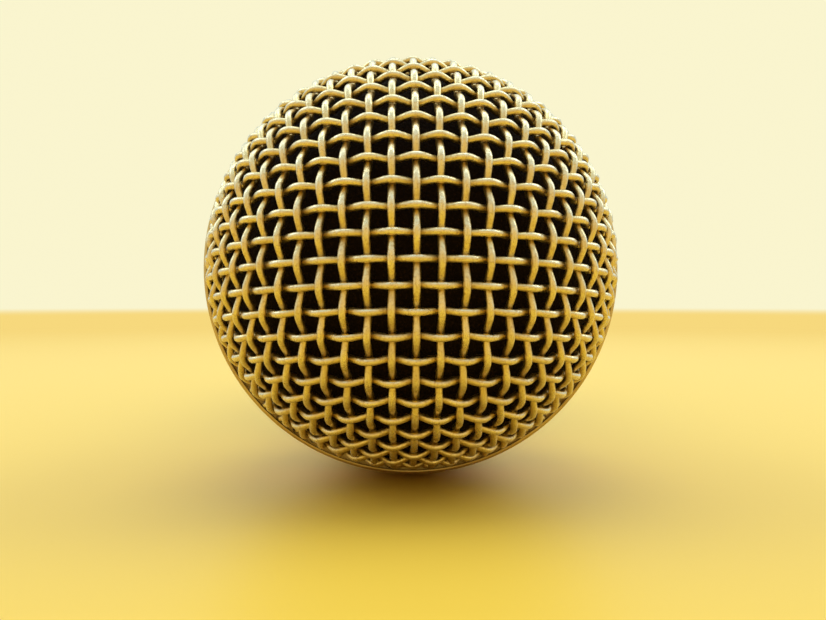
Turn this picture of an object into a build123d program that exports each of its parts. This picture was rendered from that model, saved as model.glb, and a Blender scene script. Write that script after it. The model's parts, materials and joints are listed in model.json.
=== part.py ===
"""Handheld dynamic vocal microphone, lying on its grille band and its tail.

Row frame: the table is z = 0, +Z up, the ball grille looks towards -Y and the tail points to +Y.
Along the microphone, s is the distance in mm from the tail face towards the ball, and r the radius.
"""
import os
from math import acos, atan2, cos, degrees, pi, radians, sin, sqrt

from build123d import *

os.makedirs("parts", exist_ok=True)

# ---------------------------------------------------------------- driving dimensions (mm)

# tail: cylindrical land for a microphone clip, then the handle's taper up to the shoulder
land_r = 11.9
land_len = 18.0
tail_edge = 0.5
taper_step = 0.25
taper_run = 2.0
handle_len = 104.0
shoulder_r = 17.5
shoulder_edge = 1.2

# threaded nose that carries the grille
nose_len = 8.0
thread_r = 15.5
thread_depth = 0.5
thread_pitch = 1.25
thread_sink = 0.1
grille_turns = 4
thread_lead_in = 0.5
cavity_tail_r = 9.6
body_wall = 2.4
neck_len = 6.0
nose_wall = 1.6

# three-pin tail connector
insert_r = 8.0
insert_len = 7.5
insert_back = 15.5
pin_r = 1.2
pin_circle_r = 4.75
pin_angles = (145, 35, 270)
pin_recess = 1.5
solder_cup_len = 4.0
key_width = 2.2
key_depth = 0.6
set_screw_r = 1.25
set_screw_sink = 0.4
clip_t = 0.35
clip_len = 3.0
clip_arc = 290

# output transformer
core_width = 13.0
core_len = 14.0
core_stack = 6.8
core_leg = 1.8
centre_leg = 4.0
core_yoke = 2.4
bobbin_wall = 0.5
bobbin_flange = 0.7
winding_t = 1.6
transformer_gap = 10.0
sleeve_t = 1.5
lead_r = 0.45
lead_bend = 0.6
lead_sag = 3.5

# slide switch, let into the top of the handle
switch_s = 62.0
plate_len = 24.0
plate_width = 8.6
plate_t = 1.0
plate_corner = 1.5
screw_spacing = 19.0
screw_r = 0.8
screw_head_r = 1.6
screw_head_t = 0.7
switch_len = 14.0
switch_width = 7.0
switch_height = 5.6
slider_len = 3.6
slider_width = 2.6
slider_rise = 1.0
slider_dip = 1.7
slider_travel = 4.0

# grille: woven ball in two halves, joined by the band and carried by the collar
mesh_r = 25.2
wire_r = 0.42
throat_r = 20.1
band_width = 7.0
band_grip = 1.0
band_edge = 0.25
rim_wall = 0.4
groove_depth = 1.3
wire_seat = 0.5
collar_len = 12.5
collar_wall = 2.1
collar_lip = 0.6
collar_edge = 0.5
lip_wall = 0.6
pitch_across = 0.1021
pitch_up = 0.1084
plane_lean = 0.13

# foam lining
foam_t = 3.2

# rubber isolator ring
isolator_flange_r = 14.9
isolator_flange_t = 1.8
isolator_depth = 4.5
isolator_relief = 0.2

# capsule
chamber_r = 11.0
chamber_wall = 0.8
chamber_len = 34.0
chamber_flange = 1.6
chamber_flange_t = 2.0
board_t = 1.6
lug_width = 2.0
lug_t = 0.6
lug_len = 3.0
lug_spacing = 10.0
can_r = 12.0
can_wall = 0.6
can_floor = 1.0
can_lip = 1.0
can_lip_t = 0.6
vent_r = 1.5
vent_circle_r = 6.5
vent_count = 6
felt_t = 2.0
yoke_r = 10.6
yoke_floor = 2.0
yoke_wall = 2.4
magnet_r = 6.2
magnet_len = 7.0
pole_r = 6.7
plate_ring_t = 2.5
coil_t = 0.6
coil_len = 3.6
plate_gap = 0.4
gap_clear = 0.3
diaphragm_t = 0.15
dome_height = 1.9
surround_width = 2.2
support_ring_t = 1.7
cap_t = 1.2
cap_hole_r = 0.9
cap_inner_ring_r = 3.2
cap_inner_count = 6
cap_outer_ring_r = 6.6
cap_outer_count = 12
cloth_t = 0.3

# clearances
seam = 0.3
insert_fit = 0.05
pin_fit = 0.04
screw_fit = 0.05
plate_fit = 0.15
slide_fit = 0.25
mesh_clear = 0.05
wire_gap = 0.06
thread_clear = 0.2
soft_gap = 0.3
seat = 0.1
capsule_float = 0.4
diaphragm_travel = 0.3

# ---------------------------------------------------------------- stations along the microphone

nose_end = handle_len + nose_len
taper_start = land_len + taper_run
cavity_start = insert_back + insert_len
nose_root_r = thread_r - thread_depth
thread_turns = grille_turns + thread_lead_in
thread_back = nose_end - thread_pitch * (thread_turns + 1)
cavity_nose_r = nose_root_r - nose_wall

collar_back = handle_len + seam
collar_front = collar_back + collar_len
rear_centre = collar_front + sqrt(mesh_r**2 - throat_r**2)
band_back = rear_centre - band_grip
band_front = band_back + band_width
front_centre = band_front - band_grip
band_r = mesh_r + mesh_clear + rim_wall
mesh_inner_r = mesh_r - 4 * wire_r - wire_gap
collar_floor = collar_front - groove_depth

# the microphone lies on the band's rear edge and on the tail's edge
lie = atan2(band_r - land_r, band_back + band_edge - tail_edge)
front = Vector(0, -cos(lie), sin(lie))
up = Vector(0, sin(lie), cos(lie))
side = Vector(1, 0, 0)
tail_height = land_r * cos(lie) - tail_edge * sin(lie)
tail_reach = (front_centre * cos(lie) + mesh_r - (land_r - tail_edge) * sin(lie)) / 2
tail_point = Vector(0, tail_reach, tail_height)


def axis_point(s, x=0.0, h=0.0):
    """The point at station s, x to the side and h above the microphone's axis."""
    return tail_point + front * s + side * x + up * h


def across(s):
    """Plane square to the axis at station s: x to the side, y up, facing the ball."""
    return Plane(origin=axis_point(s), x_dir=side, z_dir=front)


def above(s, h):
    """Plane along the axis at height h: x towards the ball, y to the side, facing up."""
    return Plane(origin=axis_point(s, h=h), x_dir=front, z_dir=up)


mic_axis = Axis(tail_point, front)
profile = Plane(origin=tail_point, x_dir=front, z_dir=-side)


def ring_section(s_from, s_to, r_from, r_to, mode=Mode.ADD):
    """Rectangle in the profile plane, between two stations and two radii."""
    with Locations(((s_from + s_to) / 2, (r_from + r_to) / 2)):
        Rectangle(s_to - s_from, r_to - r_from, mode=mode)


def shell_section(centre, r_out, r_in, s_from, s_to):
    """Upper half of a round shell about a centre on the axis, between two stations."""
    with Locations((centre, 0)):
        Circle(r_out)
        Circle(r_in, mode=Mode.SUBTRACT)
    ring_section(s_from, s_to, 0, r_out, mode=Mode.INTERSECT)


def finish(builder, name):
    """Label one sub-part and write its STEP file."""
    builder.part.label = name
    export_step(builder.part, f"parts/{name}.step")


# ---------------------------------------------------------------- handle

socket_r = insert_r + insert_fit
taper_rise = (shoulder_r - land_r - taper_step) / (handle_len - taper_start)
plate_back_r = land_r + taper_step + taper_rise * (switch_s - plate_len / 2 - taper_start)
pocket_floor = sqrt(plate_back_r**2 - (plate_width / 2) ** 2) - plate_t
set_screw_s = (taper_start + cavity_start) / 2
neck_s = handle_len - neck_len
cavity_body_r = shoulder_r - taper_rise * neck_len - body_wall

with BuildPart() as handle_shell:
    with BuildSketch(profile):
        with BuildLine():
            Polyline(
                (0, socket_r),
                (0, land_r - tail_edge),
                (tail_edge, land_r),
                (land_len, land_r),
                (taper_start, land_r + taper_step),
                (handle_len - shoulder_edge, shoulder_r),
                (handle_len, shoulder_r - shoulder_edge),
                (handle_len, nose_root_r),
                (nose_end, nose_root_r),
                (nose_end, cavity_nose_r),
                (neck_s, cavity_nose_r),
                (neck_s - (cavity_body_r - cavity_nose_r), cavity_body_r),
                (cavity_start, cavity_tail_r),
                (cavity_start, socket_r),
                close=True,
            )
        make_face()
    revolve(axis=mic_axis)
    # thread ridge on the nose
    with BuildLine() as thread_line:
        Helix(
            pitch=thread_pitch,
            height=thread_pitch * thread_turns,
            radius=nose_root_r,
            center=axis_point(thread_back),
            direction=front,
        )
    thread_start = thread_line.line @ 0
    thread_heading = thread_line.line % 0
    thread_outward = (thread_start - axis_point(thread_back)).normalized()
    with BuildSketch(Plane(origin=thread_start, x_dir=thread_outward, z_dir=thread_heading)):
        with BuildLine():
            Polyline(
                (-thread_sink, -thread_pitch * 0.35),
                (thread_depth, -thread_pitch * 0.1),
                (thread_depth, thread_pitch * 0.1),
                (-thread_sink, thread_pitch * 0.35),
                close=True,
            )
        make_face()
    sweep(path=thread_line.line, is_frenet=True)
    # keyway of the connector
    with BuildSketch(across(0)):
        with Locations((0, socket_r)):
            Rectangle(key_width, 2 * key_depth)
    extrude(amount=insert_back - seam, mode=Mode.SUBTRACT)
    # set screw hole
    with BuildSketch(above(set_screw_s, socket_r - key_depth)):
        Circle(set_screw_r + screw_fit)
    extrude(amount=land_r, mode=Mode.SUBTRACT)
    # pocket, window and screw holes of the slide switch
    with BuildSketch(above(switch_s, pocket_floor)):
        RectangleRounded(plate_len + 2 * plate_fit, plate_width + 2 * plate_fit, plate_corner)
    extrude(amount=shoulder_r, mode=Mode.SUBTRACT)
    with BuildSketch(above(switch_s, pocket_floor)):
        Rectangle(switch_len + 2 * plate_fit, switch_width + 2 * plate_fit)
        with Locations((-screw_spacing / 2, 0), (screw_spacing / 2, 0)):
            Circle(screw_r + screw_fit)
    extrude(amount=-switch_height, mode=Mode.SUBTRACT)
finish(handle_shell, "handle_shell")

# ---------------------------------------------------------------- tail connector

with BuildPart() as connector_insert:
    with BuildSketch(across(insert_back)):
        Circle(insert_r)
        for angle in pin_angles:
            with PolarLocations(pin_circle_r, 1, start_angle=angle):
                Circle(pin_r + pin_fit, mode=Mode.SUBTRACT)
    extrude(amount=insert_len)
    with BuildSketch(above(set_screw_s, insert_r)):
        Circle(set_screw_r + screw_fit)
    extrude(amount=-2 * set_screw_sink, mode=Mode.SUBTRACT)
finish(connector_insert, "connector_insert")

for number, angle in enumerate(pin_angles, start=1):
    with BuildPart() as contact_pin:
        with BuildSketch(across(pin_recess)):
            with PolarLocations(pin_circle_r, 1, start_angle=angle):
                Circle(pin_r)
        extrude(amount=cavity_start + solder_cup_len - pin_recess)
        fillet(contact_pin.faces().sort_by(mic_axis)[0].edges(), pin_r * 0.6)
        with BuildSketch(across(cavity_start + solder_cup_len)):
            with PolarLocations(pin_circle_r, 1, start_angle=angle):
                Circle(pin_r * 0.65)
        extrude(amount=-solder_cup_len / 2, mode=Mode.SUBTRACT)
    finish(contact_pin, f"contact_pin_{number}")

with BuildPart() as connector_set_screw:
    with BuildSketch(above(set_screw_s, insert_r - set_screw_sink)):
        Circle(set_screw_r)
    extrude(amount=land_r - insert_r)
    with BuildSketch(above(set_screw_s, land_r - set_screw_sink)):
        RegularPolygon(set_screw_r * 0.55, 6)
    extrude(amount=-set_screw_r, mode=Mode.SUBTRACT)
finish(connector_set_screw, "connector_set_screw")

with BuildPart() as ground_clip:
    with BuildSketch(profile):
        clip_r = cavity_tail_r - seat
        ring_section(cavity_start + seat, cavity_start + seat + clip_len, clip_r - clip_t, clip_r)
    revolve(axis=mic_axis, revolution_arc=clip_arc)
finish(ground_clip, "ground_clip")

# ---------------------------------------------------------------- output transformer

core_back = cavity_start + transformer_gap
core_mid = core_back + core_len / 2
window_len = core_len - 2 * core_yoke
window_width = core_width / 2 - core_leg - centre_leg / 2
window_mid = centre_leg / 2 + window_width / 2
bobbin_len = window_len - 2 * seat
spool_width = centre_leg + 2 * (seat + bobbin_wall)
spool_height = core_stack + 2 * (seat + bobbin_wall)
flange_width = core_width - 2 * (core_leg + seat)
flange_height = spool_height + 2 * (winding_t + seat)

with BuildPart() as transformer_core:
    with BuildSketch(above(core_mid, -core_stack / 2)):
        Rectangle(core_len, core_width)
        with Locations((0, -window_mid), (0, window_mid)):
            Rectangle(window_len, window_width, mode=Mode.SUBTRACT)
    extrude(amount=core_stack)
finish(transformer_core, "transformer_core")

with BuildPart() as transformer_bobbin:
    with BuildSketch(across(core_mid - bobbin_len / 2)):
        Rectangle(flange_width, flange_height)
    extrude(amount=bobbin_flange)
    with BuildSketch(across(core_mid - bobbin_len / 2)):
        Rectangle(spool_width, spool_height)
    extrude(amount=bobbin_len)
    with BuildSketch(across(core_mid + bobbin_len / 2)):
        Rectangle(flange_width, flange_height)
    extrude(amount=-bobbin_flange)
    with BuildSketch(across(core_mid - bobbin_len / 2)):
        Rectangle(centre_leg + 2 * seat, core_stack + 2 * seat)
    extrude(amount=bobbin_len, mode=Mode.SUBTRACT)
finish(transformer_bobbin, "transformer_bobbin")

with BuildPart() as transformer_winding:
    winding_len = bobbin_len - 2 * (bobbin_flange + seat)
    winding_side = (flange_width - spool_width) / 2 - 2 * seat
    with BuildSketch(across(core_mid - winding_len / 2)):
        RectangleRounded(
            spool_width + 2 * (seat + winding_side), spool_height + 2 * (seat + winding_t), winding_side
        )
        Rectangle(spool_width + 2 * seat, spool_height + 2 * seat, mode=Mode.SUBTRACT)
    extrude(amount=winding_len)
finish(transformer_winding, "transformer_winding")

with BuildPart() as transformer_sleeve:
    with BuildSketch(profile):
        sleeve_r = cavity_tail_r + seat
        ring_section(core_back, core_back + core_len, sleeve_r - sleeve_t, sleeve_r)
    revolve(axis=mic_axis)
finish(transformer_sleeve, "transformer_sleeve")

# ---------------------------------------------------------------- slide switch

slot_len = slider_len + slider_travel + 2 * slide_fit
slot_width = slider_width + 2 * slide_fit

with BuildPart() as switch_plate:
    with BuildSketch(above(switch_s, pocket_floor)):
        RectangleRounded(plate_len, plate_width, plate_corner)
        Rectangle(slot_len, slot_width, mode=Mode.SUBTRACT)
        with Locations((-screw_spacing / 2, 0), (screw_spacing / 2, 0)):
            Circle(screw_head_r + screw_fit, mode=Mode.SUBTRACT)
    extrude(amount=plate_t)
    with BuildSketch(above(switch_s, pocket_floor)):
        with Locations((-screw_spacing / 2, 0), (screw_spacing / 2, 0)):
            Circle(screw_head_r + screw_fit)
            Circle(screw_r + screw_fit, mode=Mode.SUBTRACT)
    extrude(amount=plate_t - screw_head_t)
finish(switch_plate, "switch_plate")

with BuildPart() as switch_screws:
    with BuildSketch(above(switch_s, pocket_floor + plate_t)):
        with Locations((-screw_spacing / 2, 0), (screw_spacing / 2, 0)):
            Circle(screw_head_r)
    extrude(amount=-screw_head_t)
    with BuildSketch(above(switch_s, pocket_floor + plate_t)):
        with Locations((-screw_spacing / 2, 0), (screw_spacing / 2, 0)):
            Circle(screw_r)
    extrude(amount=-2 * plate_t)
    with BuildSketch(above(switch_s, pocket_floor + plate_t)):
        with Locations((-screw_spacing / 2, 0), (screw_spacing / 2, 0)):
            Rectangle(screw_head_r * 1.3, screw_r * 0.4)
            Rectangle(screw_r * 0.4, screw_head_r * 1.3)
    extrude(amount=-screw_head_t / 2, mode=Mode.SUBTRACT)
finish(switch_screws, "switch_screws")

with BuildPart() as switch_body:
    with BuildSketch(above(switch_s, pocket_floor - seat)):
        Rectangle(switch_len, switch_width)
    extrude(amount=seat - switch_height)
    with BuildSketch(above(switch_s, pocket_floor - seat)):
        Rectangle(slot_len, slot_width)
    extrude(amount=-slider_dip - slide_fit, mode=Mode.SUBTRACT)
finish(switch_body, "switch_body")

with BuildPart() as switch_slider:
    with BuildSketch(above(switch_s - slider_travel / 2, pocket_floor - seat - slider_dip)):
        Rectangle(slider_len, slider_width)
    extrude(amount=slider_dip + seat + plate_t + slider_rise)
    with BuildSketch(above(switch_s - slider_travel / 2, pocket_floor + plate_t + slider_rise)):
        with GridLocations(slider_len / 4, 0, 3, 1):
            Rectangle(slider_len / 10, slider_width)
    extrude(amount=-slider_rise / 3, mode=Mode.SUBTRACT)
finish(switch_slider, "switch_slider")

# ---------------------------------------------------------------- grille

def strand(family, index, centre, facing, layer_r, edges):
    """Arcs of one wire of a half ball: (circle centre, arc middle, arc side, radius, angles).

    The wires of one family lie in planes that lean about a common line far behind the ball, so
    that the woven square mesh opens evenly from the pole to the rim.
    """
    sideways = side if family == "across" else up
    along = up if family == "across" else side
    pitch = pitch_across if family == "across" else pitch_up
    pole = front * facing
    turn = index * pitch
    lean = plane_lean * turn
    normal = sideways * cos(lean) - pole * sin(lean)
    middle = sideways * sin(lean) + pole * cos(lean)
    offset = sin(turn - lean)
    radius = sqrt(1 - offset**2)
    rim, throat = edges
    widest = (rim / layer_r + offset * sin(lean)) / (radius * cos(lean))
    if widest >= 1:
        return []
    wide = acos(widest)
    narrowest = 2.0 if throat is None else (throat / layer_r + offset * sin(lean)) / (radius * cos(lean))
    spans = [(-wide, wide)]
    if narrowest < 1:
        narrow = acos(narrowest)
        spans = [(-wide, -narrow), (narrow, wide)]
    hub = axis_point(centre) + normal * (layer_r * offset)
    return [(hub, middle, along, layer_r * radius, span) for span in spans]


def wire(hub, middle, along, radius, span):
    """Round wire bent along one arc about its hub."""
    start, stop = span
    outward = middle * cos(start) + along * sin(start)
    heading = along * cos(start) - middle * sin(start)
    with BuildPart() as piece:
        with BuildSketch(Plane(origin=hub + outward * radius, x_dir=outward, z_dir=heading)):
            Circle(wire_r)
        revolve(axis=Axis(hub, middle.cross(along)), revolution_arc=degrees(stop - start))
    return piece.part.solid()


def woven_half(centre, facing, edges):
    """All wires of one half ball, the upright ones in the outer layer."""
    wires = []
    for family, layer_r in (("across", mesh_r - wire_r), ("up", mesh_r - 3 * wire_r - wire_gap)):
        for index in range(-wire_reach, wire_reach + 1):
            for arc in strand(family, index, centre, facing, layer_r, edges):
                wires.append(wire(*arc))
    return wires


wire_reach = int(pi / 2 / pitch_across) + 2
rim_height = band_grip - groove_depth + wire_seat
throat_height = rear_centre - collar_floor - wire_seat
front_mesh = Compound(woven_half(front_centre, 1, (rim_height, None)), label="front_mesh")
export_step(front_mesh, "parts/front_mesh.step")
rear_mesh = Compound(woven_half(rear_centre, -1, (rim_height, throat_height)), label="rear_mesh")
export_step(rear_mesh, "parts/rear_mesh.step")

groove_r = mesh_inner_r - seat
rim_r = mesh_r + mesh_clear

with BuildPart() as equator_band:
    with BuildSketch(profile):
        ring_section(band_back, band_front, groove_r - lip_wall, band_r)
        ring_section(band_back, band_back + groove_depth, groove_r, rim_r, mode=Mode.SUBTRACT)
        ring_section(band_front - groove_depth, band_front, groove_r, rim_r, mode=Mode.SUBTRACT)
    revolve(axis=mic_axis)
    round_edges = equator_band.edges().filter_by(GeomType.CIRCLE)
    chamfer([edge for edge in round_edges if edge.radius > rim_r + rim_wall / 2], band_edge)
finish(equator_band, "equator_band")

throat_lip_r = throat_r + mesh_clear
collar_r = throat_lip_r + collar_lip
throat_inner_r = sqrt(mesh_inner_r**2 - (rear_centre - collar_floor) ** 2) - seat
collar_bore_r = thread_r + thread_clear
collar_tail_r = collar_bore_r + collar_wall

with BuildPart() as grille_collar:
    with BuildSketch(profile):
        with BuildLine():
            Polyline(
                (collar_back, collar_bore_r),
                (collar_back, collar_tail_r - collar_edge),
                (collar_back + collar_edge, collar_tail_r),
                (collar_back + collar_len / 2, collar_tail_r),
            )
            Spline(
                (collar_back + collar_len / 2, collar_tail_r),
                (collar_front - collar_edge, collar_r),
                tangents=((1, 0), (1, 0.15)),
            )
            Polyline(
                (collar_front - collar_edge, collar_r),
                (collar_front, collar_r),
                (collar_front, throat_lip_r),
                (collar_floor, throat_lip_r),
                (collar_floor, throat_inner_r),
                (collar_front, throat_inner_r),
                (collar_front, throat_inner_r - lip_wall),
                (nose_end + seam + seat, throat_inner_r - lip_wall),
                (nose_end + seam + seat, collar_bore_r),
                (collar_back, collar_bore_r),
            )
        make_face()
    revolve(axis=mic_axis)
finish(grille_collar, "grille_collar")

# ---------------------------------------------------------------- foam lining

foam_r = mesh_inner_r - soft_gap

with BuildPart() as foam_dome:
    with BuildSketch(profile):
        shell_section(front_centre, foam_r, foam_r - foam_t, band_front + soft_gap, front_centre + foam_r)
    revolve(axis=mic_axis)
finish(foam_dome, "foam_dome")

with BuildPart() as foam_rear_lining:
    with BuildSketch(profile):
        shell_section(rear_centre, foam_r, foam_r - foam_t, collar_front + soft_gap, band_back - soft_gap)
    revolve(axis=mic_axis)
finish(foam_rear_lining, "foam_rear_lining")

# ---------------------------------------------------------------- isolator and capsule

isolator_r = cavity_nose_r - seat
isolator_bore_r = chamber_r + gap_clear
isolator_front = nose_end + isolator_flange_t

with BuildPart() as isolator_ring:
    with BuildSketch(profile):
        ring_section(nose_end - isolator_depth, nose_end, isolator_bore_r, isolator_r - isolator_relief)
        ring_section(nose_end, isolator_front, isolator_bore_r, isolator_flange_r)
    revolve(axis=mic_axis)
finish(isolator_ring, "isolator_ring")

chamber_front = isolator_front + capsule_float + gap_clear + chamber_flange_t
chamber_back = chamber_front - chamber_len

with BuildPart() as rear_chamber:
    with BuildSketch(profile):
        ring_section(chamber_back, chamber_front, chamber_r - chamber_wall, chamber_r)
        ring_section(chamber_back, chamber_back + chamber_wall, lug_spacing / 2 + lug_width, chamber_r)
        ring_section(chamber_front - chamber_flange_t, chamber_front, chamber_r, chamber_r + chamber_flange)
    revolve(axis=mic_axis)
finish(rear_chamber, "rear_chamber")

with BuildPart() as terminal_board:
    with BuildSketch(across(chamber_back - board_t)):
        Circle(chamber_r - chamber_wall)
        with GridLocations(lug_spacing, 0, 2, 1):
            Rectangle(lug_width + 2 * pin_fit, lug_t + 2 * pin_fit, mode=Mode.SUBTRACT)
    extrude(amount=board_t)
finish(terminal_board, "terminal_board")

with BuildPart() as terminal_lugs:
    with BuildSketch(across(chamber_back - board_t - lug_len)):
        with GridLocations(lug_spacing, 0, 2, 1):
            Rectangle(lug_width, lug_t)
    extrude(amount=lug_len + board_t + lug_len / 2)
finish(terminal_lugs, "terminal_lugs")

can_back = chamber_front
felt_back = can_back + can_floor
yoke_back = felt_back + felt_t
magnet_back = yoke_back + yoke_floor
pole_back = magnet_back + magnet_len
gap_front = pole_back + plate_ring_t
coil_inner_r = pole_r + gap_clear
coil_r = coil_inner_r + coil_t
coil_front = gap_front + diaphragm_travel + plate_gap
top_plate_r = coil_r + gap_clear
surround_r = coil_r + surround_width
ring_front = gap_front + support_ring_t
cap_back = coil_front + diaphragm_t + dome_height + diaphragm_travel + gap_clear
cloth_back = cap_back + cap_t
can_front = cloth_back + cloth_t + can_lip_t
can_inner_r = can_r - can_wall

with BuildPart() as capsule_can:
    with BuildSketch(profile):
        ring_section(can_back, can_front, can_inner_r, can_r)
        ring_section(can_back, felt_back, chamber_wall, can_r)
        ring_section(can_front - can_lip_t, can_front, can_inner_r - can_lip, can_r)
    revolve(axis=mic_axis)
    with BuildSketch(across(can_back)):
        with PolarLocations(vent_circle_r, vent_count):
            Circle(vent_r)
    extrude(amount=can_floor, mode=Mode.SUBTRACT)
finish(capsule_can, "capsule_can")

with BuildPart() as acoustic_felt:
    with BuildSketch(profile):
        ring_section(felt_back, yoke_back, vent_r, can_inner_r - soft_gap)
    revolve(axis=mic_axis)
finish(acoustic_felt, "acoustic_felt")

with BuildPart() as yoke_cup:
    with BuildSketch(profile):
        ring_section(yoke_back, pole_back, yoke_r - yoke_wall, yoke_r)
        ring_section(yoke_back, magnet_back, vent_r, yoke_r)
    revolve(axis=mic_axis)
finish(yoke_cup, "yoke_cup")

with BuildPart() as magnet:
    with BuildSketch(profile):
        ring_section(magnet_back, pole_back, vent_r, magnet_r)
    revolve(axis=mic_axis)
finish(magnet, "magnet")

with BuildPart() as pole_piece:
    with BuildSketch(profile):
        ring_section(pole_back, gap_front, vent_r, pole_r)
    revolve(axis=mic_axis)
finish(pole_piece, "pole_piece")

with BuildPart() as top_plate:
    with BuildSketch(profile):
        ring_section(pole_back, gap_front, top_plate_r, yoke_r)
    revolve(axis=mic_axis)
finish(top_plate, "top_plate")

with BuildPart() as voice_coil:
    with BuildSketch(profile):
        ring_section(coil_front - coil_len, coil_front, coil_inner_r, coil_r)
    revolve(axis=mic_axis)
finish(voice_coil, "voice_coil")

dome_r = (coil_r**2 + dome_height**2) / (2 * dome_height)
dome_centre = coil_front + diaphragm_t + dome_height - dome_r

with BuildPart() as diaphragm:
    with BuildSketch(profile):
        shell_section(dome_centre, dome_r, dome_r - diaphragm_t, coil_front, dome_centre + dome_r)
        ring_section(coil_front, coil_front + diaphragm_t, coil_inner_r, surround_r)
    revolve(axis=mic_axis)
finish(diaphragm, "diaphragm")

with BuildPart() as diaphragm_ring:
    with BuildSketch(profile):
        ring_section(gap_front, ring_front, surround_r + gap_clear, can_inner_r - seat)
    revolve(axis=mic_axis)
finish(diaphragm_ring, "diaphragm_ring")

with BuildPart() as resonator_cap:
    with BuildSketch(profile):
        ring_section(ring_front, cloth_back, surround_r + gap_clear, can_inner_r - seat)
        ring_section(cap_back, cloth_back, 0, can_inner_r - seat)
    revolve(axis=mic_axis)
    with BuildSketch(across(cap_back)):
        Circle(cap_hole_r)
        with PolarLocations(cap_inner_ring_r, cap_inner_count):
            Circle(cap_hole_r)
        with PolarLocations(cap_outer_ring_r, cap_outer_count):
            Circle(cap_hole_r)
    extrude(amount=cap_t, mode=Mode.SUBTRACT)
finish(resonator_cap, "resonator_cap")

with BuildPart() as screen_cloth:
    with BuildSketch(profile):
        ring_section(cloth_back, cloth_back + cloth_t, 0, can_inner_r - seat)
    revolve(axis=mic_axis)
finish(screen_cloth, "screen_cloth")

# ---------------------------------------------------------------- leads


def lead(points, bend):
    """Round insulated lead along straight runs joined by bends."""
    with BuildPart() as strand_of_lead:
        with BuildLine() as route:
            FilletPolyline(*points, radius=bend)
        with BuildSketch(Plane(origin=points[0], z_dir=(points[1] - points[0]).normalized())):
            Circle(lead_r)
        sweep(path=route.line)
    return strand_of_lead.part.solid()


cup_front = cavity_start + solder_cup_len
core_front = core_back + core_len
lead_seat = core_stack / 4
output_leads = []
for angle, x_end in ((pin_angles[0], -core_width / 4), (pin_angles[1], core_width / 4)):
    pin_x = pin_circle_r * cos(radians(angle))
    pin_h = pin_circle_r * sin(radians(angle))
    run = (core_back - cup_front) / 3
    points = [
        axis_point(cup_front, pin_x, pin_h),
        axis_point(cup_front + run, pin_x, pin_h),
        axis_point(core_back - run, x_end, lead_seat),
        axis_point(core_back - seat, x_end, lead_seat),
    ]
    output_leads.append(lead(points, run * lead_bend))
output_leads = Compound(output_leads, label="output_leads")
export_step(output_leads, "parts/output_leads.step")

lug_back = chamber_back - board_t - lug_len
lead_end = lug_back - capsule_float - seat
lead_run = (lead_end - core_front) / 4
capsule_leads = []
for hand in (-1, 1):
    points = [
        axis_point(core_front + seat, hand * core_width / 4, -lead_seat),
        axis_point(core_front + lead_run, hand * core_width / 4, -lead_seat),
        axis_point(core_front + 2 * lead_run, hand * lug_spacing / 4, -lead_seat - lead_sag),
        axis_point(lead_end - lead_run, hand * lug_spacing / 2, 0),
        axis_point(lead_end, hand * lug_spacing / 2, 0),
    ]
    capsule_leads.append(lead(points, lead_run * lead_bend))
capsule_leads = Compound(capsule_leads, label="capsule_leads")
export_step(capsule_leads, "parts/capsule_leads.step")
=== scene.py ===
# %% [markdown]
# # A handheld vocal microphone
#
# The microphone lies on its side with its ball grille towards the viewer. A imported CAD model
# already holds every part at its real size, so this lesson only dresses it: it weaves the wire
# grille, foams its inside, finishes each surface, and sets up the stage, the lights and the camera.

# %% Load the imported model
import json
from math import acos, asin, ceil, cos, pi, radians, sin, sqrt

import bmesh
import bpy
from mathutils import Matrix, Vector, noise


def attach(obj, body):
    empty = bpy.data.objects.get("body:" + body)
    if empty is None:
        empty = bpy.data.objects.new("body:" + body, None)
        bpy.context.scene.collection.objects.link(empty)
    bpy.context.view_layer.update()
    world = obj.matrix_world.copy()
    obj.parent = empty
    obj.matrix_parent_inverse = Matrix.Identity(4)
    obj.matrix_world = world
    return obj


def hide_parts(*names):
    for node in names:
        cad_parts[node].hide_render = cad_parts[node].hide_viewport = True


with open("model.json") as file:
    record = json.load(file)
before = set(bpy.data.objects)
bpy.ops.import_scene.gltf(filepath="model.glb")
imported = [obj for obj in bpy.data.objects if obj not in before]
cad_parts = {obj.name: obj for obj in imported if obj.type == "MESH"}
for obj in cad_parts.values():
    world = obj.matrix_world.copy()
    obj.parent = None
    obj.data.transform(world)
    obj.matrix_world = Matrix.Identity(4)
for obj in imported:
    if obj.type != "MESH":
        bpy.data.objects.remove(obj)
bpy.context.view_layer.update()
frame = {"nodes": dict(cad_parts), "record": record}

# %% [markdown]
# ## Measuring along the microphone
#
# Nearly every part is round about one tilted axis. A station is a distance along that axis, counted
# from the tail face towards the ball. Reading the stations from the CAD nodes means that no place
# has to be typed in again.

# %% Axis and stations
MM = 0.001
mounts = {mount["name"]: mount for mount in frame["record"]["mounts"]}
tail_point = Vector(mounts["connector_socket"]["pos_m"])
front = -Vector(mounts["connector_socket"]["axis"]).normalized()
side = Vector((1, 0, 0))
up = front.cross(side)


def on_axis(station):
    """Point on the microphone's axis at a station."""
    return tail_point + front * station


def vertices_of(node):
    """Vertices of a CAD node."""
    return frame["nodes"][node].data.vertices


def stations(node):
    """First and last station of a CAD node, in metres."""
    along = [(vertex.co - tail_point).dot(front) for vertex in vertices_of(node)]
    return min(along), max(along)


def placed(name, data):
    """New object at the origin that holds the data, linked to the scene."""
    made = bpy.data.objects.new(name, data)
    bpy.context.scene.collection.objects.link(made)
    return made


band_back, band_front = stations("equator_band")
_, collar_front = stations("grille_collar")
mesh_r = 25.2 * MM
_, mesh_front = stations("front_mesh")
front_centre = mesh_front - mesh_r
band_grip = band_front - front_centre
rear_centre = band_back + band_grip
ball = on_axis(front_centre)
print("band from", band_back, "to", band_front, "ball centre at", front_centre)

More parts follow.
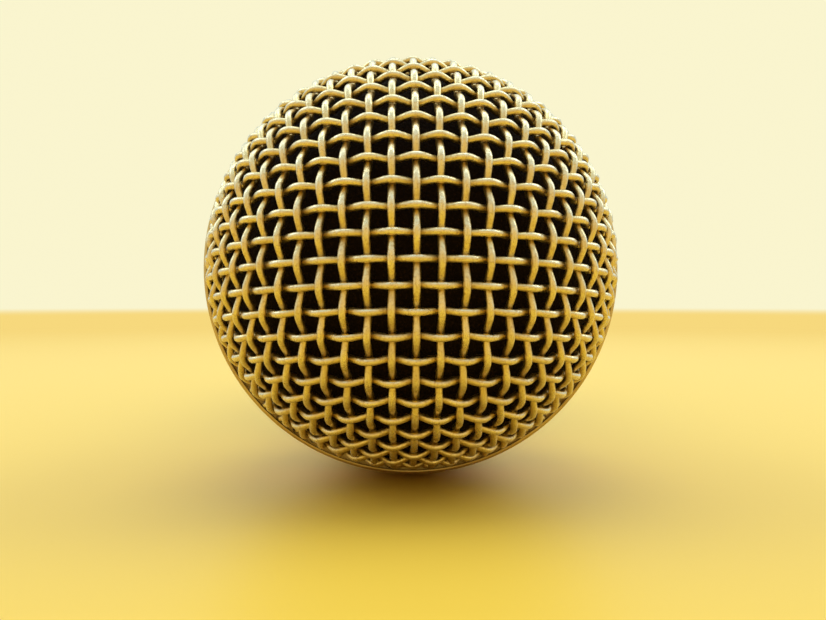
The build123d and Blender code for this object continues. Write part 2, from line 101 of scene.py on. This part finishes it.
# %% [markdown]
# ## The camera
#
# The eye is close to the ball and a little above the table, looking almost level, so the ball fills
# the middle of the picture and hides the handle behind it. Its place is given from the ball's
# centre: how many ball radii away, how much the lens looks down and how far it is turned aside.

# %% Camera
eye_distance = 4.58 * mesh_r
eye_pitch = radians(0.93)
eye_yaw = radians(-1.32)
ball_rise = 0.2215 * mesh_r
ball_aside = -0.0075 * mesh_r
focal_ratio = 1.11985

camera_data = bpy.data.cameras.new("eye")
camera_data.sensor_width = 36
camera_data.lens = camera_data.sensor_width * focal_ratio
camera_data.clip_start = 0.005
camera = placed("eye", camera_data)
look = Matrix.Rotation(eye_yaw, 4, "Z") @ Matrix.Rotation(pi / 2 - eye_pitch, 4, "X")
right, above, behind = (look.col[axis].to_3d() for axis in range(3))
eye = ball - right * ball_aside - above * ball_rise + behind * eye_distance
camera.matrix_world = Matrix.Translation(eye) @ look
bpy.context.scene.camera = camera
print("eye height over the table, mm:", round(eye.z / MM, 1))

# %% [markdown]
# ## Finishes written as sums
#
# A material is a network of nodes. Wrapping a socket in a small class lets that network be written
# as ordinary sums, such as 0.3 + 0.2 * grain, which is easier to read and to change than links.


# %% Sockets that can be added and multiplied
class Value:
    """An output socket of a finish. Sums with it add Math nodes."""

    def __init__(self, finish, socket):
        self.finish = finish
        self.socket = socket

    def sum_with(self, operation, first, second):
        """Math node of two numbers or sockets."""
        return self.finish.node("ShaderNodeMath", {"operation": operation}, {0: first, 1: second})

    def __add__(self, other):
        return self.sum_with("ADD", self, other)

    def __sub__(self, other):
        return self.sum_with("SUBTRACT", self, other)

    def __rsub__(self, other):
        return self.sum_with("SUBTRACT", other, self)

    def __mul__(self, other):
        return self.sum_with("MULTIPLY", self, other)

    __radd__ = __add__
    __rmul__ = __mul__


class Finish:
    """One material, made of nodes that read the piece's own Object coordinates."""

    def __init__(self, name, owner=None):
        self.material = owner or bpy.data.materials.new(name)
        self.material.use_nodes = True
        self.tree = self.material.node_tree
        self.tree.nodes.clear()
        self.place = self.node("ShaderNodeTexCoord", output="Object")

    def node(self, kind, settings=None, inputs=None, output=0):
        """Any node: its settings first, then the values or links of its inputs."""
        made = self.tree.nodes.new(kind)
        for name, setting in (settings or {}).items():
            setattr(made, name, setting)
        for name, value in (inputs or {}).items():
            if isinstance(value, Value):
                self.tree.links.new(value.socket, made.inputs[name])
            else:
                made.inputs[name].default_value = value
        return Value(self, made.outputs[output]) if made.outputs else None

    def vector_sum(self, operation, first, second=(0, 0, 0), output="Vector"):
        """Sum with two vectors, or a measure of them when the output is Value."""
        inputs = {0: first, 1: second}
        return self.node("ShaderNodeVectorMath", {"operation": operation}, inputs, output)

    def stretched(self, factors):
        """Object coordinates stretched along X, Y and Z."""
        return self.vector_sum("MULTIPLY", self.place, factors)

    def grain(self, scale, detail, roughness=0.5, place=None):
        """Soft noise from 0 to 1; scale is in lumps per metre."""
        inputs = {"Vector": place or self.place, "Scale": scale}
        inputs |= {"Detail": detail, "Roughness": roughness}
        return self.node("ShaderNodeTexNoise", inputs=inputs)

    def cells(self, scale):
        """Distance to the middle of the nearest cell; scale is in cells per metre."""
        inputs = {"Vector": self.place, "Scale": scale}
        return self.node("ShaderNodeTexVoronoi", inputs=inputs, output="Distance")

    def ranged(self, value, low, high, to_low=0.0, to_high=1.0):
        """A value eased from one range to another, and held at both ends."""
        inputs = {0: value, 1: low, 2: high, 3: to_low, 4: to_high}
        return self.node("ShaderNodeMapRange", {"interpolation_type": "SMOOTHSTEP"}, inputs)

    def blend(self, factor, first, second):
        """Colour between two colours."""
        settings = {"data_type": "RGBA"}
        return self.node("ShaderNodeMix", settings, {0: factor, 6: first, 7: second}, output=2)

    def measure(self, direction):
        """Distance along a direction, in metres."""
        return self.vector_sum("DOT_PRODUCT", self.place, direction, output="Value")

    def ridges(self, direction, pitch):
        """Even ridges across a direction, from 0 to 1."""
        turns = self.measure(direction) * (2 * pi / pitch)
        return 0.5 + 0.5 * self.node("ShaderNodeMath", {"operation": "SINE"}, {0: turns})

    def scratches(self, direction, per_metre):
        """Uneven fine lines across a direction, from 0 to 1."""
        settings = {"noise_dimensions": "1D"}
        inputs = {"W": self.measure(direction) * per_metre, "Scale": 1.0}
        return self.node("ShaderNodeTexNoise", settings, inputs)

    def bump(self, height, distance, strength):
        """Surface normal of a height; distance is the depth in metres of a height of 1."""
        inputs = {"Height": height, "Distance": distance, "Strength": strength}
        return self.node("ShaderNodeBump", inputs=inputs)

    def shine(self, **sockets):
        """Principled surface; a socket's name is written with underscores."""
        named = {name.replace("_", " "): value for name, value in sockets.items()}
        shader = self.node("ShaderNodeBsdfPrincipled", inputs=named)
        self.node("ShaderNodeOutputMaterial", inputs={"Surface": shader})
        return self.material


def colour(red, green, blue):
    """Opaque colour."""
    return (red, green, blue, 1.0)


# %% [markdown]
# ## Plated wire and plated sheet
#
# The grille is plated in a pale champagne gold. The tops of the wires, where they cross over, are
# painted lighter, partly for wear and partly as a painted highlight; the dips between them are
# painted darker, partly for a little brown dirt and partly as painted shade where the wires cross.
# How far a point lies from the ball's centre tells which of the two it is. Drawn wire also has fine
# lines along its length.


# %% Champagne plating
champagne = colour(0.76, 0.62, 0.29)
# Colour of the wire tops, for wear and a painted highlight.
champagne_wear_highlight = colour(0.80, 0.73, 0.56)
# Dull brown for random patches, streaks and specks, for dirt and painted shade in the dips, and for
# the painted shade of the band.
champagne_dull = colour(0.41, 0.25, 0.075)
wire_r = 0.42 * MM
crimp = wire_r + 0.01 * MM
weave_r = mesh_r - wire_r - crimp


def plated_wire(name, centre, along):
    """Satin plated wire, with drawing lines along one direction of the weave; painted highlight and
    wear on the tops, painted shade and dirt in the dips.
    """
    finish = Finish(name)
    offset = finish.vector_sum("DISTANCE", finish.place, centre, output="Value")
    # The tops of the crossings get wear and a painted highlight; the dips get dirt and painted
    # shade.
    wear_and_highlight = finish.ranged(offset, weave_r + 0.3 * crimp, mesh_r)
    dirt_and_shade = finish.ranged(offset, weave_r - 1.1 * crimp, weave_r - 0.3 * crimp, 1.0, 0.0)
    patches = finish.ranged(finish.grain(260, 3.0), 0.42, 0.62)
    specks = finish.ranged(finish.grain(4200, 2.0), 0.52, 0.66)
    lines = finish.grain(1.0, 2.0, 0.6, finish.stretched(along))
    streaks = finish.ranged(lines, 0.35, 0.65)
    body = finish.blend(0.20 * patches + 0.25 * streaks, champagne, champagne_dull)
    # Tops painted lighter for wear and highlight, then dips and specks painted darker for dirt and
    # shade.
    worn_and_highlit = finish.blend(wear_and_highlight * (0.70 - 0.4 * streaks), body, champagne_wear_highlight)
    dirty_and_shaded = finish.blend(0.25 * dirt_and_shade + 0.35 * specks, worn_and_highlit, champagne_dull)
    rough = 0.28 + 0.08 * patches + 0.10 * dirt_and_shade - 0.05 * wear_and_highlight + 0.08 * streaks
    pits = finish.bump(lines * 0.6 + specks * 0.4, 0.035 * MM, 0.8)
    return finish.shine(
        Base_Color=dirty_and_shaded,
        Metallic=1.0,
        Roughness=rough,
        Normal=pits,
        Coat_Weight=0.4,
        Coat_Roughness=0.3,
    )


def plated_sheet(name):
    """Satin plated sheet metal, with faint lines round the axis, its tone darkened towards dull
    brown as painted shade.
    """
    finish = Finish(name)
    rings = finish.scratches(front, 4200)
    patches = finish.ranged(finish.grain(120, 3.0), 0.40, 0.66)
    # Painted shade: the whole sheet is pulled about halfway to the dull brown, with random patches
    # on top.
    base = finish.blend(0.48 + 0.12 * patches, champagne, champagne_dull)
    rough = 0.46 + 0.08 * patches + 0.06 * rings
    lines = finish.bump(rings, 0.006 * MM, 0.5)
    return finish.shine(Base_Color=base, Metallic=1.0, Roughness=rough, Normal=lines)


# %% [markdown]
# ## Weaving the ball
#
# Each half of the ball is a square of woven wire pressed into a bowl. Two families of wires cross:
# one runs over the ball from bottom to top, the other from side to side, and each goes over and
# under the other in turn. Pressing opens the weave a little towards the rim, so the wires of one
# family lie in planes that lean about a far line instead of all meeting at the poles. A wire is a
# curve along its plane's circle, lifted and lowered by the crossing wires, with a round bevel.

# %% Wires of the weave
wire_pitch = {"across": 0.1021, "upward": 0.1084}
plane_lean = 0.13
wire_reach = 17
steps_per_pitch = 8
lean_rounds = 8
out_of_reach = 2.0


def wire_index(aside, polewards, pitch):
    """Number of the wire of a family that passes a point of the unit ball, with its fraction."""
    turn = asin(max(-1.0, min(1.0, aside)))
    for _ in range(lean_rounds):
        lean = plane_lean * turn
        turn = lean + asin(max(-1.0, min(1.0, aside * cos(lean) - polewards * sin(lean))))
    return turn / pitch


def wire_paths(family, index, centre, facing, rim, throat):
    """Points along each stretch of one wire, from rim to rim or from rim to throat."""
    sideways, along, other = (side, up, "upward") if family == "across" else (up, side, "across")
    pole = front * facing
    turn = index * wire_pitch[family]
    lean = plane_lean * turn
    normal = sideways * cos(lean) - pole * sin(lean)
    middle = sideways * sin(lean) + pole * cos(lean)
    offset = sin(turn - lean)
    radius = sqrt(1 - offset**2)

    def cosine_at(height):
        """Cosine of the angle along the wire at which it reaches a height above the centre."""
        return (height / weave_r + offset * sin(lean)) / (radius * cos(lean))

    widest = cosine_at(rim)
    if widest >= 1:
        return []
    wide = acos(widest)
    spans = [(-wide, wide)]
    inner = out_of_reach if throat is None else cosine_at(throat)
    if inner < 1:
        narrow = acos(inner)
        spans = [(-wide, -narrow), (narrow, wide)]
    over = 1 if index % 2 == 0 else -1
    if family == "upward":
        over = -over
    paths = []
    for start, stop in spans:
        steps = max(3, ceil((stop - start) / wire_pitch[other] * steps_per_pitch))
        path = []
        for step in range(steps + 1):
            angle = start + (stop - start) * step / steps
            ray = normal * offset + (middle * cos(angle) + along * sin(angle)) * radius
            crossing = wire_index(ray.dot(along), ray.dot(pole), wire_pitch[other])
            path.append(on_axis(centre) + ray * (weave_r + crimp * over * cos(pi * crossing)))
        paths.append(path)
    return paths


# %% From curves to one mesh
bevel_steps = 3


def wires_to_mesh(name, paths, radius):
    """Round wires along lists of points, as one mesh object at the origin."""
    curve = bpy.data.curves.new(name, "CURVE")
    curve.dimensions = "3D"
    curve.bevel_depth = radius
    curve.bevel_resolution = bevel_steps
    curve.use_fill_caps = True
    for path in paths:
        spline = curve.splines.new("POLY")
        spline.points.add(len(path) - 1)
        for point, place in zip(spline.points, path):
            point.co = (*place, 1.0)
    maker = placed(name + ".curve", curve)
    bpy.context.view_layer.update()
    evaluated = maker.evaluated_get(bpy.context.evaluated_depsgraph_get())
    mesh = bpy.data.meshes.new_from_object(evaluated)
    bpy.data.objects.remove(maker)
    bpy.data.curves.remove(curve)
    mesh.name = name
    mesh.materials.clear()
    mesh.shade_smooth()
    return placed(name, mesh)


def triangles(piece):
    """Number of triangles of a mesh object."""
    return sum(len(face.vertices) - 2 for face in piece.data.polygons)


# %% Weave both halves
groove_depth = 1.3 * MM
wire_seat = 0.5 * MM
rim_height = band_grip - groove_depth + wire_seat
throat_height = rear_centre - (collar_front - groove_depth + wire_seat)
drawn_lines = {"across": (6500, 6500, 450), "upward": (450, 6500, 6500)}
halves = {"front": (front_centre, 1, None), "rear": (rear_centre, -1, throat_height)}
for half, (centre, facing, throat) in halves.items():
    for family in ("across", "upward"):
        paths = []
        for index in range(-wire_reach, wire_reach + 1):
            paths += wire_paths(family, index, centre, facing, rim_height, throat)
        weave = wires_to_mesh(f"{half}_wires_{family}", paths, wire_r)
        finish = plated_wire(f"plated_wire_{half}_{family}", on_axis(centre), drawn_lines[family])
        weave.data.materials.append(finish)
        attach(weave, "grille")
        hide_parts(f"{half}_mesh")
        print(weave.name, len(paths), "wires,", triangles(weave), "triangles")

# %% [markdown]
# ## Foam lining
#
# Behind the wires sits a layer of open-cell foam: a dome in front and a ring behind the band. It
# stops breath and spit, and it is what makes the openings of the mesh look black. Each piece starts
# from a fine icosphere, because its faces are equally small everywhere, is cut level with its ends,
# gets its thickness, and then its skin is moved in and out a little, as torn cells do.


# %% Open-cell foam
foam_skin = colour(0.020, 0.010, 0.007)
foam_depth = colour(0.006, 0.003, 0.002)
foam_t = 3.2 * MM
foam_swell = 0.10 * MM
foam_fineness = 6
tear_sizes = (1.1 * MM, 0.45 * MM)


def foam_material():
    """Black foam with small open cells."""
    finish = Finish("black_foam")
    hollows = finish.cells(2600)
    open_cell = finish.ranged(hollows, 0.15, 0.55)
    lumps = finish.grain(700, 2.0)
    tint = finish.blend(0.6 * open_cell + 0.3 * lumps, foam_skin, foam_depth)
    return finish.shine(
        Base_Color=tint,
        Roughness=0.92 + 0.06 * lumps,
        Specular_IOR_Level=0.15,
        Normal=finish.bump(hollows, 0.15 * MM, 0.8),
    )


def foam_shell(name, node, centre, material):
    """Foam shell about a ball centre, between the two ends of a CAD node."""
    low, high = stations(node)
    reach = max((vertex.co - on_axis(centre)).length for vertex in vertices_of(node))
    shape = bmesh.new()
    bmesh.ops.create_icosphere(
        shape,
        subdivisions=foam_fineness,
        radius=reach - foam_swell,
        matrix=Matrix.Translation(on_axis(centre)),
    )
    for station, outwards in ((low + foam_swell, -1), (high - foam_swell, 1)):
        if abs(station - centre) < reach - 2 * foam_swell:
            everything = shape.verts[:] + shape.edges[:] + shape.faces[:]
            bmesh.ops.bisect_plane(
                shape,
                geom=everything,
                plane_co=on_axis(station),
                plane_no=front * outwards,
                clear_outer=True,
            )
    bmesh.ops.solidify(shape, geom=shape.faces[:], thickness=foam_t - 2 * foam_swell)
    bmesh.ops.recalc_face_normals(shape, faces=shape.faces[:])
    shape.normal_update()
    for vertex in shape.verts:
        broad, fine = (noise.noise(vertex.co / size) for size in tear_sizes)
        vertex.co += vertex.normal * (0.6 * foam_swell * (broad + 0.5 * fine))
    mesh = bpy.data.meshes.new(name)
    shape.to_mesh(mesh)
    shape.free()
    mesh.shade_smooth()
    mesh.materials.append(material)
    piece = placed(name, mesh)
    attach(piece, "grille_foam")
    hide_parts(node)
    print(name, "reach in mm", round(reach / MM, 2), "triangles", triangles(piece))


foam_finish = foam_material()
foam_shell("foam_dome_torn", "foam_dome", front_centre, foam_finish)
foam_shell("foam_ring_torn", "foam_rear_lining", rear_centre, foam_finish)

# %% [markdown]
# ## Dressing the CAD nodes
#
# The turned and moulded parts already have their true shape, so they keep their CAD meshes and only
# get a finish. Each finish has a pattern that tells how the part was made: sprayed enamel has low
# lumps, turned metal has rings round the axis, a coil has its turns of wire, a transformer core its
# stacked sheets, and cloth its threads. The pattern drives both the tone and the relief.


# %% Patterns left by making
def powder(finish):
    """Fine grain of a moulded skin or of ground metal."""
    return finish.grain(2600, 3.0, 0.6)


def orange_peel(finish):
    """Low rounded lumps of sprayed enamel, with a finer grain on them."""
    return 0.65 * finish.grain(1100, 1.0) + 0.35 * finish.grain(3800, 2.0)


def rings(finish):
    """Turning marks round the axis."""
    return finish.scratches(front, 5200)


def polish(finish):
    """Faint close turning marks on small plated parts."""
    return finish.scratches(front, 14000)


def turns(finish):
    """Wire wound round the axis."""
    return finish.ridges(front, 0.16 * MM)


def sheets(finish):
    """Edges of stacked iron sheets."""
    return finish.ridges(side, 0.7 * MM)


def threads(finish):
    """Crossing threads of cloth or of a bonded board."""
    return finish.ridges(side, 0.32 * MM) * finish.ridges(up, 0.32 * MM)


def fibres(finish):
    """Matted fibres of felt."""
    return finish.grain(1.0, 3.0, 0.7, finish.stretched((1500, 5200, 1500)))


def pores(finish):
    """Open cells of foam."""
    return finish.ranged(finish.cells(2600), 0.10, 0.60)


# %% Finishes of the turned and moulded parts
def dressed(name, base, rough, metallic, pattern, depth, contrast):
    """Finish with a maker's pattern and a slight unevenness of tone."""
    finish = Finish(name)
    marks = pattern(finish)
    tone = finish.ranged(finish.grain(210, 3.0), 0.35, 0.65)
    darker = colour(*(0.45 * channel for channel in base))
    tint = finish.blend(0.35 * tone + contrast * marks, colour(*base), darker)
    relief = finish.bump(marks, depth * MM, 0.7)
    rough = rough + 0.12 * marks
    return finish.shine(Base_Color=tint, Roughness=rough, Metallic=metallic, Normal=relief)


enamelled = ["handle_shell"]
contacts = ["contact_pin_1", "contact_pin_2", "contact_pin_3", "ground_clip", "terminal_lugs"]
steels = ["connector_set_screw", "switch_plate", "switch_screws"]
plastics = ["switch_body", "rear_chamber", "diaphragm_ring"]
irons = ["yoke_cup", "pole_piece", "top_plate"]
spun = ["capsule_can", "resonator_cap"]
coils = ["transformer_winding", "voice_coil"]
leads = ["output_leads", "capsule_leads"]
# nodes, name, tone, roughness, metal, pattern, relief in mm, share of the pattern in the tone
finishes = [
    (enamelled, "charcoal_enamel", (0.020, 0.020, 0.022), 0.38, 0.0, orange_peel, 0.07, 0.12),
    (["isolator_ring"], "black_rubber", (0.020, 0.020, 0.020), 0.68, 0.0, powder, 0.02, 0.2),
    (["connector_insert"], "green_insulator", (0.020, 0.090, 0.050), 0.40, 0.0, powder, 0.01, 0.2),
    (contacts, "gold_contact", (0.850, 0.620, 0.250), 0.22, 1.0, polish, 0.0003, 0.05),
    (steels, "black_steel", (0.110, 0.108, 0.105), 0.26, 1.0, powder, 0.006, 0.2),
    (plastics, "black_plastic", (0.022, 0.022, 0.023), 0.45, 0.0, powder, 0.01, 0.2),
    (["switch_slider"], "slider_plastic", (0.010, 0.010, 0.010), 0.34, 0.0, powder, 0.01, 0.2),
    (spun, "satin_aluminium", (0.640, 0.640, 0.650), 0.28, 1.0, rings, 0.004, 0.2),
    (irons, "plated_iron", (0.500, 0.500, 0.490), 0.28, 1.0, rings, 0.003, 0.2),
    (["magnet"], "magnet_nickel", (0.620, 0.590, 0.540), 0.22, 1.0, powder, 0.002, 0.1),
    (["transformer_core"], "laminated_iron", (0.240, 0.240, 0.250), 0.45, 1.0, sheets, 0.05, 0.6),
    (coils, "enamelled_copper", (0.640, 0.250, 0.100), 0.26, 1.0, turns, 0.05, 0.6),
    (["transformer_bobbin"], "cream_bobbin", (0.700, 0.640, 0.500), 0.45, 0.0, powder, 0.01, 0.1),
    (["transformer_sleeve"], "grey_foam", (0.120, 0.120, 0.130), 0.85, 0.0, pores, 0.15, 0.7),
    (leads, "red_insulation", (0.450, 0.030, 0.020), 0.32, 0.0, powder, 0.005, 0.1),
    (["acoustic_felt"], "white_felt", (0.720, 0.690, 0.620), 0.85, 0.0, fibres, 0.08, 0.4),
    (["diaphragm"], "clear_film", (0.700, 0.720, 0.750), 0.12, 0.0, rings, 0.006, 0.1),
    (["terminal_board"], "brown_board", (0.240, 0.120, 0.050), 0.45, 0.0, threads, 0.01, 0.3),
    (["screen_cloth"], "screen_cloth", (0.060, 0.060, 0.062), 0.80, 0.0, threads, 0.08, 0.8),
]
surfaces = [(["equator_band", "grille_collar"], plated_sheet("champagne_sheet"))]
surfaces += [(nodes, dressed(*settings)) for nodes, *settings in finishes]
for nodes, surface in surfaces:
    for node in nodes:
        mesh = frame["nodes"][node].data
        mesh.materials.clear()
        mesh.materials.append(surface)
print("finishes of CAD nodes:", len(surfaces))

# %% [markdown]
# ## Stage and light
#
# A pale table top reaches far back, and its rim fades into the cream colour of the room. Both show
# at their own plain brightness to the camera and in reflections, without adding light to the
# microphone, while the table close by is really lit, so that it keeps the shadow and a faint
# reflection in its varnish. The room is lighter behind the microphone than in front of it, and
# three soft lamps hang behind the ball: one high up and one on either side. So the ball shades the
# table just in front of it.

# %% Table top
table_r = 1.6
table_sides = 128
lit_r = 0.1
glow_r = 0.5
table_tint = colour(0.93, 0.69, 0.205)
table_matte = colour(0.94, 0.60, 0.075)
room_tint = colour(0.955, 0.91, 0.62)
shape = bmesh.new()
bmesh.ops.create_circle(shape, cap_ends=True, segments=table_sides, radius=table_r)
table_mesh = bpy.data.meshes.new("table_top")
shape.to_mesh(table_mesh)
shape.free()
table = placed("table_top", table_mesh)


def ray_kind(finish, kind):
    """1 for rays of one kind, such as camera or glossy rays, and 0 for others."""
    return finish.node("ShaderNodeLightPath", output=f"Is {kind} Ray")


paint = Finish("pale_table")
seen = ray_kind(paint, "Camera") + ray_kind(paint, "Glossy")
distance = paint.vector_sum("LENGTH", paint.place, output="Value")
rim = paint.ranged(distance, 0.55 * table_r, 0.98 * table_r)
tint = paint.blend(rim, table_tint, room_tint)
varnish = {"Base Color": table_matte, "Roughness": 0.42, "Specular IOR Level": 0.16}
lit = paint.node("ShaderNodeBsdfPrincipled", inputs=varnish)
glow = paint.node("ShaderNodeEmission", inputs={"Color": tint, "Strength": 1.0})
far = paint.ranged(distance, lit_r, glow_r)
shown = paint.node("ShaderNodeMixShader", inputs={0: far * seen, 1: lit, 2: glow})
paint.node("ShaderNodeOutputMaterial", inputs={"Surface": shown})
table_mesh.materials.append(paint.material)

# %% Room
front_level = 0.25
back_level = 1.5
low_tint = colour(1.0, 0.75, 0.30)
high_tint = colour(0.82, 0.96, 1.0)
world = bpy.data.worlds.new("room")
bpy.context.scene.world = world
air = Finish("room", world)
camera_ray = ray_kind(air, "Camera")
seen = camera_ray + ray_kind(air, "Glossy")
direction = air.node("ShaderNodeTexCoord", output="Generated")
rise = air.node("ShaderNodeSeparateXYZ", inputs={0: direction}, output="Z")
away = air.node("ShaderNodeSeparateXYZ", inputs={0: direction}, output="Y")
mirrored = air.blend(air.ranged(rise + 0.7 * away, -0.3, 0.7), low_tint, high_tint)
tint = air.blend(camera_ray, mirrored, room_tint)
fill = air.ranged(away, -0.7, 0.7, front_level, back_level)
strength = fill + (1 - fill) * seen
sky = air.node("ShaderNodeBackground", inputs={"Color": tint, "Strength": strength})
air.node("ShaderNodeOutputWorld", inputs={"Surface": sky})


# %% Lamps, each with its place from the ball in metres and its power in watts
lamp_size = 0.65
lamp_tint = (0.88, 0.98, 0.95)
lamps = {
    "overhead": ((0.0, 0.25, 1.0), 2.6),
    "left": ((-0.75, 0.30, 0.75), 2.2),
    "right": ((0.75, 0.30, 0.75), 2.8),
}
for name, (place, power) in lamps.items():
    light = bpy.data.lights.new(name, "AREA")
    light.size = lamp_size
    light.energy = power
    light.color = lamp_tint
    aim = (-Vector(place)).to_track_quat("-Z", "Y").to_matrix().to_4x4()
    placed(name, light).matrix_world = Matrix.Translation(ball + Vector(place)) @ aim
print("lamps:", ", ".join(lamps))

bpy.context.scene.view_settings.view_transform = "Standard"
